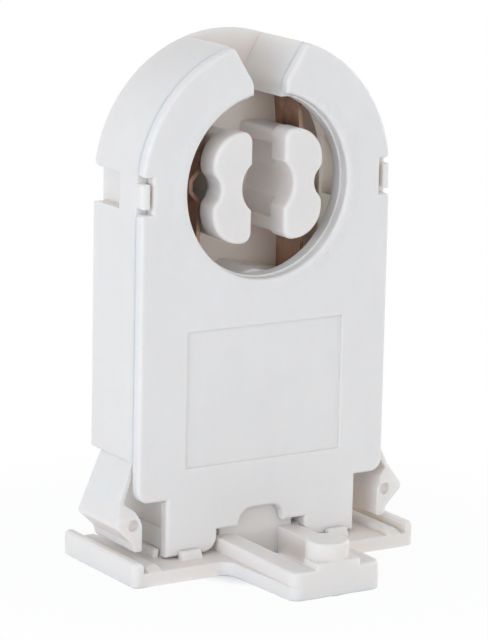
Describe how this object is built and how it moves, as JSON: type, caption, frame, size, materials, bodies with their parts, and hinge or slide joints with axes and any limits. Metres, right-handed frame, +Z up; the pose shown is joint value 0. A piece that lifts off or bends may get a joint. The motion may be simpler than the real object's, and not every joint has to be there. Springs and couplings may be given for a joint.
{
  "type": "fluorescent tube lamp holder",
  "caption": "Push-fit lamp holder for a two-pin fluorescent tube: upright body with a slotted bore, snap barbs and a flat base with a front tongue.",
  "frame": {"origin": "centre of the base underside in width, halfway through the depth of the body", "axes": "+X to the right seen from the lamp, +Y from the lamp face back into the body, +Z up from the base to the slot"},
  "size_m": [0.0284, 0.0213, 0.0446],
  "materials": {
    "housing_plastic": "satin",
    "cover_plastic": "satin",
    "contact_bronze": "rolled strip"
  },
  "bodies": {
    "root": {"housing": "housing_plastic", "front_cover": "cover_plastic", "contact_left": "contact_bronze", "contact_right": "contact_bronze"}
  },
  "joints": []
}
